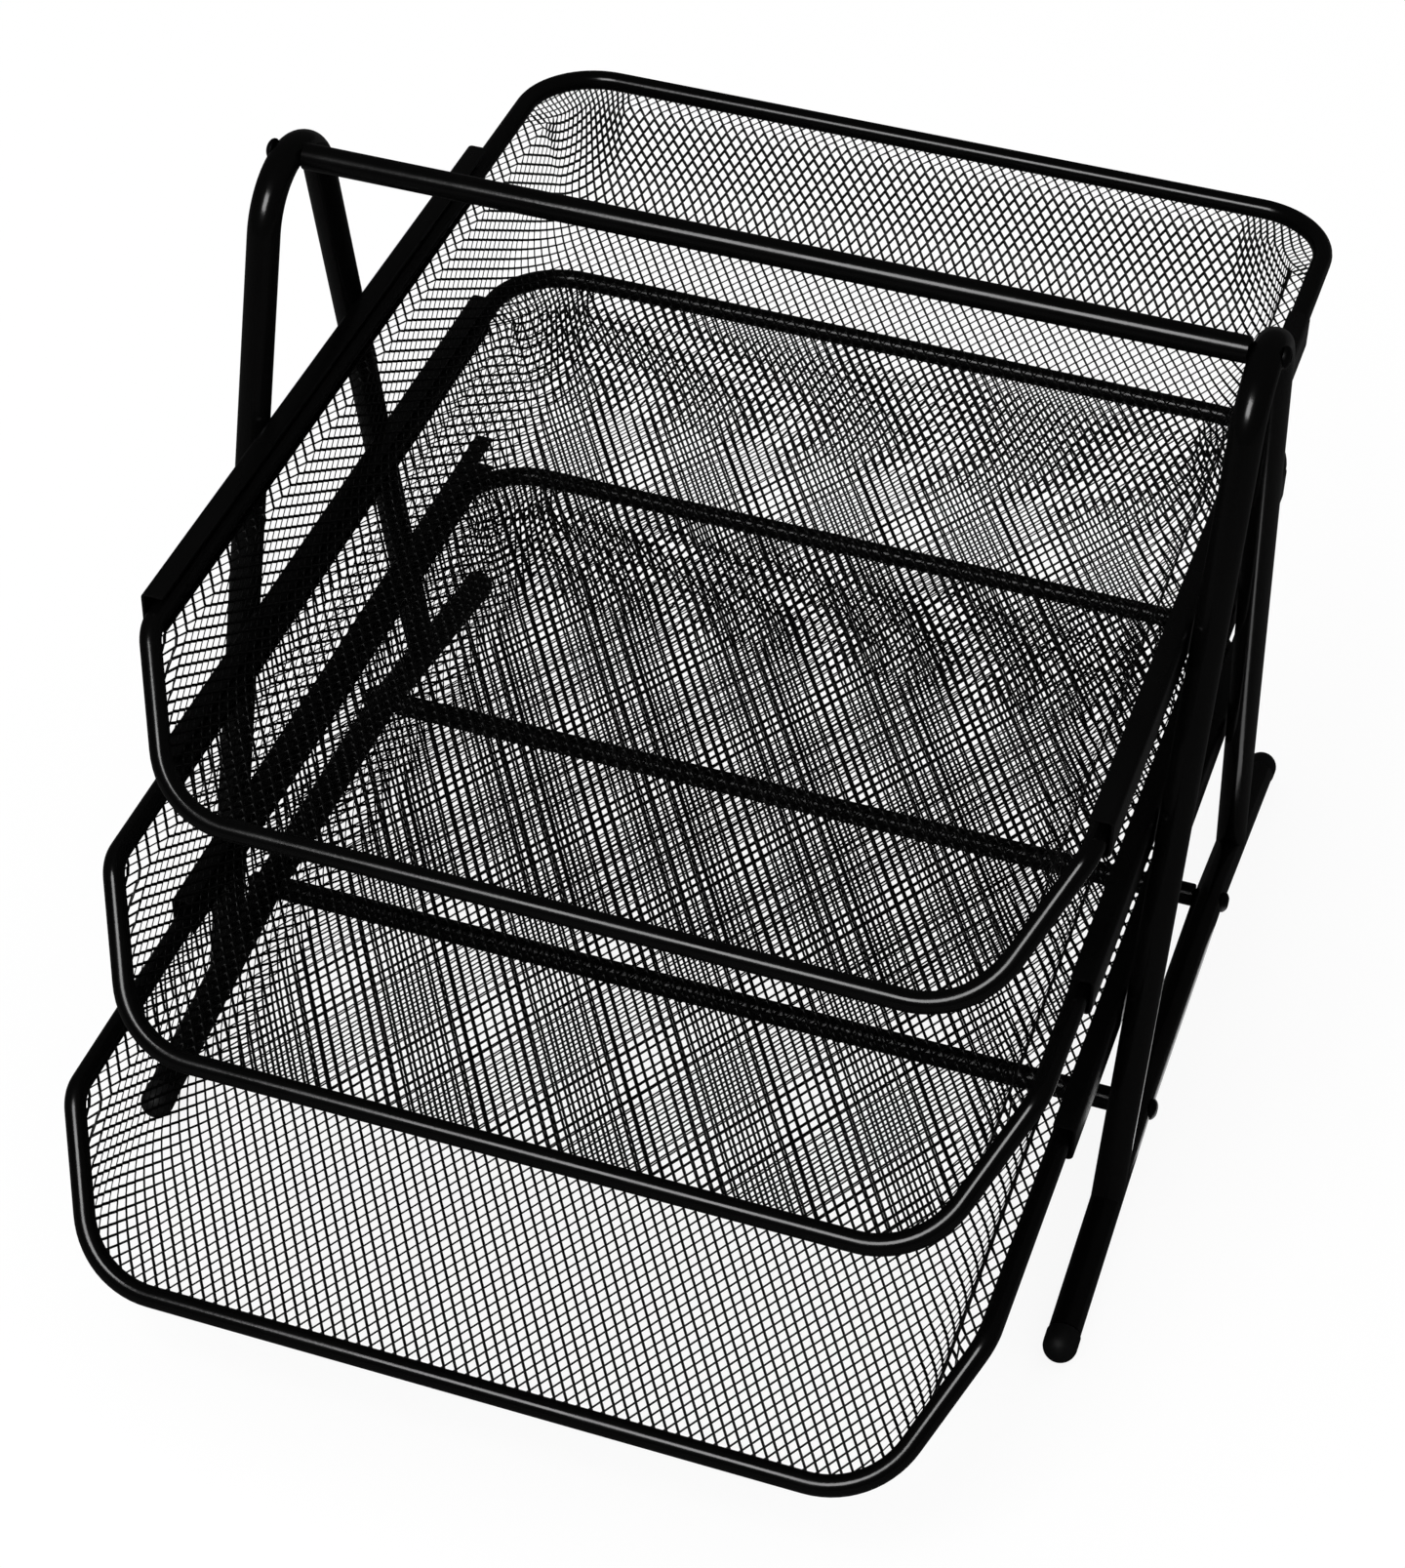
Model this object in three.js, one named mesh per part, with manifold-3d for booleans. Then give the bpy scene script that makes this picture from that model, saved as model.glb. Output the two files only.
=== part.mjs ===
// Three-tier mesh desk organizer: two A-shaped side frames of bent tube stand on bent feet,
// a handle bar and two cross bars tie them together, and three mesh trays slide in folded rails.
// Millimetres, +Z up, +X to the right, -Y to the open front of the trays.
import * as THREE from "three";
import { mergeVertices } from "three/addons/utils/BufferGeometryUtils.js";
import Module from "manifold-3d";

const wasm = await Module();
wasm.setup();

// Trays: sizes of the rim wire are taken along its centreline.
const trayWidth = 276;
const trayLength = 364;
const traySlopeRun = 38;
const trayFrontDrop = 33;
const trayFrontWidth = 235.5;
const rimDiameter = 6.4;
const rimRearRadius = 30;
const rimTopBendRadius = 12;
const rimFrontRadius = 28;
const sheetThickness = 0.7;
const flangeWidth = 5.5;
const wallFlare = THREE.MathUtils.degToRad(11);
const foldRadius = 15;
const flangeInset = 0.5;
const hiddenFlange = 1.5;
const frontRun = 10;
const floorCorner = 12;

// Lattice of the tray sheets.
const meshPitchAcross = 40;
const meshPitchAlong = 42;
const meshStrand = 2.4;
const meshBorder = 3.2;
const wallGapLength = 35;
const wallGapHeight = 17;

// Where the trays stand: rim height of the lowest one, pitch, and how far each is pulled out.
const lowestRimHeight = 76.5;
const trayPitch = 59.5;
const closedOverhang = 67;
const trayPull = { top: 0, middle: 35.5, bottom: 73 };

// Rails: C-shaped strips that the rim wires slide in.
const railLength = 254;
const railHeight = 13;
const railDepth = 7;
const railWall = 0.9;
const railBend = 1.8;

// Side frames and feet.
const tubeDiameter = 10;
const tubeWall = 1;
const handleHeight = 273;
const apexRadius = 21.4;
const legLean = THREE.MathUtils.degToRad(15.07);
const footReach = 139.5;
const crossBarSpacing = 100.4;
const footRise = 20.2;
const footBendRadius = 60;
const handleDiameter = 8;
const crossBarDiameter = 7.6;

// Foot caps and bolts.
const capDiameter = 10.6;
const capSleeve = 5;
const capStem = 11;
const capPadDepth = 0.5;
const boltHeadDiameter = 7.6;
const boltHeadHeight = 2.2;
const boltShankDiameter = 4.4;
const boltReach = 12;

// Clearances.
const seatGap = 0.3;
const slideGap = 0.4;

// Facets round a section, and steps along a bend.
const tubeSides = 12;
const wireSides = 10;
const rodSides = 16;
const bendSteps = 6;

const X = new THREE.Vector3(1, 0, 0);
const Z = new THREE.Vector3(0, 0, 1);

const tubeRadius = tubeDiameter / 2;
const rimRadius = rimDiameter / 2;
const trayTopLength = trayLength - traySlopeRun;
const webOuter = trayWidth / 2 + rimRadius + slideGap + railWall;
const frameX = webOuter + seatGap + tubeRadius;
const capRadius = capDiameter / 2;
const capCentreHeight = capRadius - capPadDepth;
const footSlope = Math.atan2(footRise - capCentreHeight, footReach - crossBarSpacing / 2);
const footEndY = footReach - capSleeve * Math.cos(footSlope);
const footEndHeight = capCentreHeight + capSleeve * Math.sin(footSlope);
const apexHeight = handleHeight + apexRadius * (1 / Math.sin(legLean) - 1);
const closedRear = railLength / 2 + closedOverhang;
const frontEnd = closedRear - trayPull.bottom - trayLength - rimRadius;
const rearEnd = closedRear + rimRadius;

const colours = { paint: 0x0c0c0d, sheet: 0x0f0f10, plastic: 0x141415, bolt: 0x101011 };

function paintedSteel() {
  return new THREE.MeshStandardMaterial({ color: colours.paint, roughness: 0.38, metalness: 0.2 });
}

function paintedSheet() {
  return new THREE.MeshStandardMaterial({ color: colours.sheet, roughness: 0.5, metalness: 0.2 });
}

function blackPlastic() {
  return new THREE.MeshStandardMaterial({ color: colours.plastic, roughness: 0.55, metalness: 0 });
}

function boltSteel() {
  return new THREE.MeshStandardMaterial({ color: colours.bolt, roughness: 0.4, metalness: 0.6 });
}

function part(name, geometry, material) {
  const mesh = new THREE.Mesh(geometry, material);
  mesh.name = name;
  return mesh;
}

// Solids and booleans.
function solidOf(geometry) {
  const bare = geometry.clone();
  bare.deleteAttribute("normal");
  bare.deleteAttribute("uv");
  const merged = mergeVertices(bare, 1e-4);
  return new wasm.Manifold(new wasm.Mesh({
    numProp: 3,
    vertProperties: merged.attributes.position.array,
    triVerts: new Uint32Array(merged.index.array),
  }));
}

function geometryOf(solid) {
  const { vertProperties, triVerts } = solid.getMesh();
  const geometry = new THREE.BufferGeometry();
  geometry.setAttribute("position", new THREE.BufferAttribute(vertProperties, 3));
  geometry.setIndex(new THREE.BufferAttribute(triVerts, 1));
  geometry.computeVertexNormals();
  return geometry;
}

function cut(geometry, tools) {
  const solid = tools.reduce((left, tool) => left.subtract(solidOf(tool)), solidOf(geometry));
  return geometryOf(solid);
}

// A rod between two points, or the drill for its hole.
function rod(from, to, diameter, sides = rodSides) {
  const along = to.clone().sub(from);
  const geometry = new THREE.CylinderGeometry(diameter / 2, diameter / 2, along.length(), sides);
  geometry.applyQuaternion(new THREE.Quaternion().setFromUnitVectors(
    new THREE.Vector3(0, 1, 0), along.clone().normalize()));
  const middle = from.clone().add(to).multiplyScalar(0.5);
  return geometry.translate(middle.x, middle.y, middle.z);
}

// The stations of a round bend between two straight runs, each with its place and direction.
function bend(before, corner, after, radius, steps) {
  const back = before.clone().sub(corner).normalize();
  const on = after.clone().sub(corner).normalize();
  const half = back.angleTo(on) / 2;
  const centre = corner.clone().addScaledVector(back.clone().add(on).normalize(), radius / Math.sin(half));
  const spoke = corner.clone().addScaledVector(back, radius / Math.tan(half)).sub(centre);
  const axis = on.clone().cross(back).normalize();
  return Array.from({ length: steps + 1 }, (_, i) => {
    const turn = ((Math.PI - 2 * half) * i) / steps;
    return {
      point: spoke.clone().applyAxisAngle(axis, turn).add(centre),
      tangent: back.clone().negate().applyAxisAngle(axis, turn),
      share: i / steps,
    };
  });
}

// A path that is only asked for at its stations, so that straight runs need no steps.
class StationPath extends THREE.Curve {
  constructor(stations) {
    super();
    this.stations = stations;
  }
  station(u) {
    return this.stations[Math.round(u * (this.stations.length - 1))];
  }
  getPointAt(u, target = new THREE.Vector3()) {
    return target.copy(this.station(u).point);
  }
  getTangentAt(u, target = new THREE.Vector3()) {
    return target.copy(this.station(u).tangent);
  }
}

function end(point, towards) {
  return { point, tangent: towards.clone().normalize() };
}

function tube(stations) {
  const section = new THREE.Shape().absarc(0, 0, tubeRadius, 0, 2 * Math.PI);
  section.holes.push(new THREE.Path().absarc(0, 0, tubeRadius - tubeWall, 0, 2 * Math.PI, true));
  return new THREE.ExtrudeGeometry(section, {
    steps: stations.length - 1,
    curveSegments: tubeSides / 2,
    extrudePath: new StationPath(stations),
  });
}

// A skin over rings of equally many points: joined end to end, or closed on itself both ways.
function skin(rings) {
  const count = rings[0].length;
  const geometry = new THREE.BufferGeometry().setFromPoints(rings.flat());
  const index = [];
  rings.forEach((_, i) => {
    const here = i * count;
    const next = ((i + 1) % rings.length) * count;
    for (let j = 0; j < count; j += 1) {
      const k = (j + 1) % count;
      index.push(here + j, next + j, next + k, here + j, next + k, here + k);
    }
  });
  return geometry.setIndex(index);
}

// Side frame, in the right-hand side's own place.
const footPoint = (y, z) => new THREE.Vector3(frameX, y, z);
const legTop = footPoint(0, apexHeight);
const legFootY = ((apexHeight - footRise - (crossBarSpacing / 2) * Math.tan(footSlope)) * Math.tan(legLean))
  / (1 - Math.tan(footSlope) * Math.tan(legLean));
const legFootZ = apexHeight - legFootY / Math.tan(legLean);

function footAxis(toFront, radius) {
  const along = toFront ? -1 : 1;
  return rod(footPoint((along * crossBarSpacing) / 2, footRise),
    footPoint(along * footEndY, footEndHeight), 2 * radius, 2 * tubeSides);
}

function sideFrame() {
  const front = footPoint(-legFootY, legFootZ);
  const rear = footPoint(legFootY, legFootZ);
  const stations = [
    end(front, legTop.clone().sub(front)),
    ...bend(front, legTop, rear, apexRadius, 2 * bendSteps),
    end(rear, rear.clone().sub(legTop)),
  ];
  return cut(tube(stations), [
    footAxis(true, tubeRadius + seatGap),
    footAxis(false, tubeRadius + seatGap),
    boltHole(0, handleHeight),
  ]);
}

function foot() {
  const corners = [-1, 1].map((along) => footPoint((along * crossBarSpacing) / 2, footRise));
  const ends = [-1, 1].map((along) => footPoint(along * footEndY, footEndHeight));
  const stations = [
    end(ends[0], corners[0].clone().sub(ends[0])),
    ...bend(ends[0], corners[0], corners[1], footBendRadius, 2),
    ...bend(corners[0], corners[1], ends[1], footBendRadius, 2),
    end(ends[1], ends[1].clone().sub(corners[1])),
  ];
  return cut(tube(stations), [-1, 1].map((along) => boltHole((along * crossBarSpacing) / 2, footRise)));
}

// Plug-in cap: a stem in the tube's bore, a shoulder on its end and a domed nose with a flat pad.
function footCap(along) {
  const stemRadius = tubeRadius - tubeWall - seatGap;
  const profile = [
    new THREE.Vector2(0, -capStem),
    new THREE.Vector2(stemRadius - 1, -capStem),
    new THREE.Vector2(stemRadius, 1 - capStem),
    new THREE.Vector2(stemRadius, seatGap),
    new THREE.Vector2(capRadius - 1, seatGap),
    new THREE.Vector2(capRadius, seatGap + 1),
    ...Array.from({ length: bendSteps }, (_, i) => {
      const turn = (Math.PI / 2) * (i / bendSteps);
      return new THREE.Vector2(capRadius * Math.cos(turn), capSleeve + capRadius * Math.sin(turn));
    }),
    new THREE.Vector2(0, capSleeve + capRadius),
  ];
  const outward = new THREE.Vector3(0, along * Math.cos(footSlope), -Math.sin(footSlope));
  const cap = new THREE.LatheGeometry(profile, rodSides);
  cap.applyQuaternion(new THREE.Quaternion().setFromUnitVectors(new THREE.Vector3(0, 1, 0), outward));
  const tip = footPoint(along * footEndY, footEndHeight);
  cap.translate(tip.x, tip.y, tip.z);
  const floor = new THREE.BoxGeometry(4 * capRadius, 8 * capRadius, 4 * capRadius);
  return cut(cap, [floor.translate(tip.x, tip.y, -2 * capRadius)]);
}

function boltHole(y, z, reach = tubeDiameter) {
  return rod(footPoint(y, z).addScaledVector(X, -reach), footPoint(y, z).addScaledVector(X, reach),
    boltShankDiameter + 2 * seatGap);
}

// Bolt from the outside through the tube into the end of a bar.
function bolt(y, z) {
  const headFace = tubeRadius + seatGap;
  const headRadius = boltHeadDiameter / 2;
  const shankRadius = boltShankDiameter / 2;
  const tip = -tubeRadius - seatGap - boltReach;
  const profile = [
    new THREE.Vector2(0, tip),
    new THREE.Vector2(shankRadius - seatGap, tip),
    new THREE.Vector2(shankRadius, tip + seatGap),
    new THREE.Vector2(shankRadius, headFace),
    new THREE.Vector2(headRadius, headFace),
    new THREE.Vector2(headRadius, headFace + boltHeadHeight / 3),
    new THREE.Vector2(headRadius * 0.8, headFace + boltHeadHeight * 0.8),
    new THREE.Vector2(headRadius * 0.4, headFace + boltHeadHeight),
    new THREE.Vector2(0, headFace + boltHeadHeight),
  ];
  return new THREE.LatheGeometry(profile, tubeSides)
    .rotateZ(-Math.PI / 2)
    .translate(frameX, y, z);
}

// Bar between the two side frames, bored at both ends for its bolts.
function bar(y, z, diameter) {
  const reach = frameX - tubeRadius - seatGap;
  const blank = rod(new THREE.Vector3(-reach, y, z), new THREE.Vector3(reach, y, z), diameter);
  const bores = [-1, 1].map((side) => rod(
    new THREE.Vector3(side * (reach - boltReach - seatGap), y, z),
    new THREE.Vector3(side * (reach + boltReach), y, z),
    boltShankDiameter + 2 * seatGap,
  ));
  return cut(blank, bores);
}

// Folded C-shaped rail, open to the inside, seen along +Y in the right-hand side's own place.
const sheetDrop = rimRadius + seatGap + sheetThickness / 2;
const railBottom = -(sheetDrop + sheetThickness / 2 + seatGap + railWall);

function rail(rimHeight) {
  const inner = railBend - railWall;
  const top = railHeight;
  const section = new THREE.Shape();
  section.moveTo(-railDepth, 0);
  section.lineTo(-railBend, 0);
  section.absarc(-railBend, railBend, railBend, -Math.PI / 2, 0);
  section.absarc(-railBend, top - railBend, railBend, 0, Math.PI / 2);
  section.lineTo(-railDepth, top);
  section.lineTo(-railDepth, top - railWall);
  section.absarc(-railBend, top - railBend, inner, Math.PI / 2, 0, true);
  section.absarc(-railBend, railBend, inner, 0, -Math.PI / 2, true);
  section.lineTo(-railDepth, railWall);
  section.closePath();
  const strip = new THREE.ExtrudeGeometry(section, {
    depth: railLength, steps: 1, bevelEnabled: false, curveSegments: 3,
  });
  return strip
    .rotateX(Math.PI / 2)
    .translate(webOuter, railLength / 2, rimHeight + railBottom);
}

// Tray, with its origin at the middle of the rear run of the rim wire.
const sideX = trayWidth / 2;
const slopeAngle = Math.atan2(trayFrontDrop, trayLength - trayTopLength);
const slopeNormal = new THREE.Vector3(0, -Math.sin(slopeAngle), Math.cos(slopeAngle));
const floorHeight = -trayFrontDrop - sheetDrop;
const foldTop = foldRadius * (1 - Math.sin(wallFlare));
const creaseX = sideX - rimRadius - flangeWidth;

// How far out of the fold's inner end the wall stands at a height over the floor.
function wallReach(height) {
  if (height >= foldTop) {
    return foldRadius * Math.cos(wallFlare) + (height - foldTop) * Math.tan(wallFlare);
  }
  const rise = foldRadius - Math.max(height, 0);
  return Math.sqrt(foldRadius * foldRadius - rise * rise);
}

const foldX = creaseX - wallReach(trayFrontDrop);
const floorFrontY = -trayLength + flangeInset + hiddenFlange + frontRun;

// Stations of half the rim, from the front corner back to the rear one. Each holds the wire's
// place and direction, the way into the tray, the side on which the wire lies over the sheet,
// and the place where the sheet has come down to the flat floor.
function rimHalf() {
  const frontCorner = new THREE.Vector3(trayFrontWidth / 2, -trayLength, -trayFrontDrop);
  const topCorner = new THREE.Vector3(sideX, -trayTopLength, 0);
  const rearCorner = new THREE.Vector3(sideX, 0, 0);
  const frontMiddle = frontCorner.clone().setX(0);
  const rearMiddle = rearCorner.clone().setX(0);
  const into = (turn) => new THREE.Vector3(-Math.cos(turn), Math.sin(turn), 0);
  const floorAt = (x, y) => new THREE.Vector3(x, y, floorHeight);
  const quarter = Math.PI / 2;

  const front = bend(frontMiddle, frontCorner, topCorner, rimFrontRadius, bendSteps)
    .map((station) => {
      const turn = quarter * (1 - station.share);
      const floor = floorAt(foldX - floorCorner * (1 - Math.cos(turn)),
        floorFrontY + floorCorner * (1 - Math.sin(turn)));
      const over = Z.clone().lerp(slopeNormal, station.share).normalize();
      return { ...station, inward: into(turn), over, floor };
    });
  const top = bend(frontCorner, topCorner, rearCorner, rimTopBendRadius, bendSteps / 2)
    .map((station) => {
      const over = slopeNormal.clone().lerp(Z, station.share).normalize();
      const y = station.point.y - over.y * sheetDrop;
      return { ...station, inward: into(0), over, floor: floorAt(foldX, y) };
    });
  const low = front.at(-1);
  const slope = [1, 2].map((i) => ({
    ...low,
    point: low.point.clone().lerp(top[0].point, i / 3),
    floor: low.floor.clone().lerp(top[0].floor, i / 3),
  }));
  const rear = bend(topCorner, rearCorner, rearMiddle, rimRearRadius, bendSteps)
    .map((station) => {
      const inward = into(-quarter * station.share);
      const floor = station.point.clone().addScaledVector(inward, sideX - foldX).setZ(floorHeight);
      return { ...station, inward, over: Z, floor };
    });
  return [...front, ...slope, ...top, ...rear];
}

function rimStations() {
  const right = rimHalf();
  const flip = (v) => v.clone().setX(-v.x);
  const left = right.map((station) => ({
    point: flip(station.point),
    tangent: flip(station.tangent).negate(),
    inward: flip(station.inward),
    over: flip(station.over),
    floor: flip(station.floor),
  })).reverse();
  return [...right, ...left];
}

function rimWire() {
  const rings = rimStations().map(({ point, tangent, over }) => {
    const side = tangent.clone().cross(over).normalize();
    const top = side.clone().cross(tangent).normalize();
    return Array.from({ length: wireSides }, (_, i) => {
      const turn = (2 * Math.PI * i) / wireSides;
      return point.clone()
        .addScaledVector(side, rimRadius * Math.cos(turn))
        .addScaledVector(top, rimRadius * Math.sin(turn));
    });
  });
  return skin(rings);
}

// One section of the sheet from under the wire to the floor: the flange, the flared wall and the
// fold. Each point has the direction in which the sheet's thickness lies.
function sheetSection({ point, inward, over, floor }) {
  const edge = point.clone()
    .addScaledVector(over, -sheetDrop)
    .addScaledVector(inward, flangeInset);
  const height = Math.max(edge.z - floorHeight, 0);
  const toWall = inward.y > 0 ? 0 : Math.abs(edge.x) - foldX - wallReach(height);
  const flange = inward.y < 0 ? sideX - creaseX - flangeInset : Math.max(toWall, hiddenFlange);
  const crease = edge.clone().addScaledVector(inward, flange);
  const down = floor.clone().sub(crease).setZ(0).normalize();
  const facing = (turn) => down.clone().multiplyScalar(Math.cos(turn)).addScaledVector(Z, Math.sin(turn));
  const lean = Math.max(wallFlare, Math.asin(Math.max(1 - height / foldRadius, -1)));
  const wallFace = facing(lean);
  const mitre = over.clone().add(wallFace).divideScalar(1 + over.dot(wallFace));
  const section = [
    { place: edge, across: over },
    { place: crease, across: mitre },
  ];
  const low = height < foldTop ? 1 : 0;
  const steps = bendSteps - 2;
  const bent = Math.min(1, height / foldTop);
  for (let i = 0; i <= steps; i += 1) {
    const share = (i + low) / (steps + low);
    const turn = THREE.MathUtils.lerp(lean, Math.PI / 2, share);
    const curved = bent > 0 ? 1 - (foldRadius * Math.cos(turn)) / wallReach(height) : share;
    const place = crease.clone().lerp(floor, THREE.MathUtils.lerp(share, curved, bent));
    place.z = floorHeight + foldRadius * (1 - Math.sin(turn));
    section.push({ place, across: facing(turn) });
  }
  return section;
}

// The formed sheet before it is pierced.
function sheetBlank() {
  const sections = rimStations().map(sheetSection);
  const offset = ({ place, across }, side) => place.clone().addScaledVector(across, (side * sheetThickness) / 2);
  const rings = sections.map((section) => [
    ...section.map((point) => offset(point, 1)),
    ...section.map((point) => offset(point, -1)).reverse(),
  ]);
  const count = rings[0].length;
  const half = count / 2;
  const index = [];
  rings.forEach((_, i) => {
    const here = i * count;
    const next = ((i + 1) % rings.length) * count;
    for (let j = 0; j < count; j += 1) {
      const k = (j + 1) % count;
      if (j !== half - 1) index.push(here + j, next + j, next + k, here + j, next + k, here + k);
    }
  });
  const outline = rings.map((ring) => new THREE.Vector2(ring[half - 1].x, ring[half - 1].y));
  THREE.ShapeUtils.triangulateShape(outline, []).forEach(([a, b, c]) => {
    index.push(a * count + half - 1, b * count + half - 1, c * count + half - 1);
    index.push(a * count + half, c * count + half, b * count + half);
  });
  return new THREE.BufferGeometry().setFromPoints(rings.flat()).setIndex(index);
}

// Diamond punch, drawn in the plane of the sheet and long enough to pass through it.
function punch(length, height) {
  const diamond = new THREE.Shape();
  diamond.moveTo(length / 2, 0);
  diamond.lineTo(0, height / 2);
  diamond.lineTo(-length / 2, 0);
  diamond.lineTo(0, -height / 2);
  diamond.closePath();
  const depth = foldRadius;
  return new THREE.ExtrudeGeometry(diamond, { depth, steps: 1, bevelEnabled: false })
    .translate(0, 0, -depth / 2);
}

function floorPunches() {
  const length = meshPitchAcross - 2 * meshStrand;
  const depth = meshPitchAlong - 2 * meshStrand;
  const reachX = foldX - meshBorder - length / 2;
  const rearY = -(sideX - foldX) - meshBorder - depth / 2;
  const frontY = -trayLength + rimDiameter + meshBorder + depth / 2;
  const rows = Math.floor((rearY - frontY) / (meshPitchAlong / 2));
  const punches = [];
  for (let row = 0; row <= rows; row += 1) {
    const y = THREE.MathUtils.lerp(frontY, rearY, row / rows);
    const shift = row % 2 === 0 ? 0 : meshPitchAcross / 2;
    const most = Math.floor((reachX - shift) / meshPitchAcross);
    for (let column = shift ? -most - 1 : -most; column <= most; column += 1) {
      const x = column * meshPitchAcross + shift;
      punches.push(punch(length, depth).translate(x, y, floorHeight));
    }
  }
  return punches;
}

function wallPunches() {
  const height = floorHeight + (foldTop - floorHeight - sheetDrop) / 2;
  const wallX = creaseX - (-sheetDrop - height) * Math.tan(wallFlare);
  const sideRun = trayTopLength - rimRearRadius;
  const sideCount = Math.floor(sideRun / meshPitchAcross);
  const rearCount = Math.floor((trayWidth - 2 * rimRearRadius) / meshPitchAcross);
  const punches = [];
  for (let i = 0; i < sideCount; i += 1) {
    const y = -rimRearRadius - (sideRun * (i + 0.5)) / sideCount;
    [-1, 1].forEach((side) => {
      punches.push(punch(wallGapLength, wallGapHeight)
        .rotateX(Math.PI / 2).rotateZ(Math.PI / 2).translate(side * wallX, y, height));
    });
  }
  for (let i = 0; i < rearCount; i += 1) {
    const x = (i - (rearCount - 1) / 2) * meshPitchAcross;
    punches.push(punch(wallGapLength, wallGapHeight)
      .rotateX(Math.PI / 2).translate(x, wallX - sideX, height));
  }
  return punches;
}

function meshPan() {
  return cut(sheetBlank(), [...floorPunches(), ...wallPunches()]);
}

function tray(level, rimHeight) {
  const group = new THREE.Group();
  group.add(part(`tray_${level}_mesh`, meshPan(), paintedSheet()));
  group.add(part(`tray_${level}_rim`, rimWire(), paintedSteel()));
  group.position.set(0, closedRear - trayPull[level], rimHeight);
  return group;
}

const rimHeights = {
  top: lowestRimHeight + 2 * trayPitch,
  middle: lowestRimHeight + trayPitch,
  bottom: lowestRimHeight,
};

// One side of the stand; the left side is the right one mirrored.
function standSide(side) {
  const group = new THREE.Group();
  group.add(part(`${side}_side_frame`, sideFrame(), paintedSteel()));
  group.add(part(`${side}_foot`, foot(), paintedSteel()));
  group.add(part(`${side}_front_foot_cap`, footCap(-1), blackPlastic()));
  group.add(part(`${side}_rear_foot_cap`, footCap(1), blackPlastic()));
  group.add(part(`${side}_handle_bolt`, bolt(0, handleHeight), boltSteel()));
  group.add(part(`${side}_front_bar_bolt`, bolt(-crossBarSpacing / 2, footRise), boltSteel()));
  group.add(part(`${side}_rear_bar_bolt`, bolt(crossBarSpacing / 2, footRise), boltSteel()));
  Object.entries(rimHeights).forEach(([level, rimHeight]) => {
    group.add(part(`${side}_rail_${level}`, rail(rimHeight), paintedSteel()));
  });
  group.scale.x = side === "left" ? -1 : 1;
  return group;
}

const organizer = new THREE.Group();
organizer.add(standSide("left"), standSide("right"));
organizer.add(part("handle_bar", bar(0, handleHeight, handleDiameter), paintedSteel()));
organizer.add(part("front_cross_bar", bar(-crossBarSpacing / 2, footRise, crossBarDiameter), paintedSteel()));
organizer.add(part("rear_cross_bar", bar(crossBarSpacing / 2, footRise, crossBarDiameter), paintedSteel()));
Object.entries(rimHeights).forEach(([level, rimHeight]) => organizer.add(tray(level, rimHeight)));

// The origin is on the desk, under the middle of the whole length at rest.
organizer.position.y = -(frontEnd + rearEnd) / 2;

export default organizer;
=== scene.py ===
import math

import bpy
import numpy as np
from bpy.props import FloatProperty, FloatVectorProperty, PointerProperty
from mathutils import Matrix, Vector


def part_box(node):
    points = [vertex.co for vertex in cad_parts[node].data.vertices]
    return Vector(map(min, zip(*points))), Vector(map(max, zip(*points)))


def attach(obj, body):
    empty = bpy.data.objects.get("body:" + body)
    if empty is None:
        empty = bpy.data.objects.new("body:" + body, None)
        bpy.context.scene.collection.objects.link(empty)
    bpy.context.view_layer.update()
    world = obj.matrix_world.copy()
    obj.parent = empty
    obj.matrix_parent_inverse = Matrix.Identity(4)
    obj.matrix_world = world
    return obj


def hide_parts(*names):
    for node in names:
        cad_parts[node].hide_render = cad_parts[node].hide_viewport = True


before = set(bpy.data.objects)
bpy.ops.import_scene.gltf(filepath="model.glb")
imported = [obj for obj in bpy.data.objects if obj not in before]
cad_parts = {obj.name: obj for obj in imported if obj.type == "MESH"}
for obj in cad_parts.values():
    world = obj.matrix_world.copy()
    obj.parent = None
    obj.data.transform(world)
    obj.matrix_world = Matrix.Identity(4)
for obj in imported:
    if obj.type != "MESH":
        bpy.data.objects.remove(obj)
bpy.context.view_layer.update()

bl_info = {
    "name": "Mesh desk organizer",
    "version": (1, 0, 0),
    "blender": (4, 5, 0),
    "location": "3D View > Sidebar > Organizer",
    "description": "Builds a desk organizer with sliding mesh trays around its packed frame",
    "category": "Add Mesh",
}

MM = 0.001
X, Z = Vector((1, 0, 0)), Vector((0, 0, 1))
LEVELS = ("top", "middle", "bottom")

# Points nearer than this are one point.
TOUCH = 0.01 * MM
TUBE_SIDES = 32
RIM_SIDES = 24
BOLT_SIDES = 24
FOLD_SEGMENTS = 6
DOME_STEPS = 12
RIM_BEND_STEPS = 12
# How far the middle of a small rounding keeps from both of its sides, as a share of its radius.
ROUND_MIDDLE = 0.3
# Edges that turn by more than this are cut ones, and get rounded.
CUT_EDGE = math.radians(50)


def length(name, description, millimetres):
    return FloatProperty(name=name, description=description, default=millimetres * MM, unit="LENGTH")


def angle(name, description, degrees):
    return FloatProperty(name=name, description=description, default=math.radians(degrees), unit="ROTATION")


def srgb(code):
    """A colour written as sRGB hex, in the linear values that shaders take."""
    parts = [int(code[i:i + 2], 16) / 255 for i in (1, 3, 5)]
    return tuple(c / 12.92 if c <= 0.04045 else ((c + 0.055) / 1.055) ** 2.4 for c in parts)


def number(name, description, default):
    return FloatProperty(name=name, description=description, default=default)


def colour(name, description, code):
    return FloatVectorProperty(
        name=name, description=description, default=srgb(code), size=3, subtype="COLOR", min=0, max=1
    )


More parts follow.
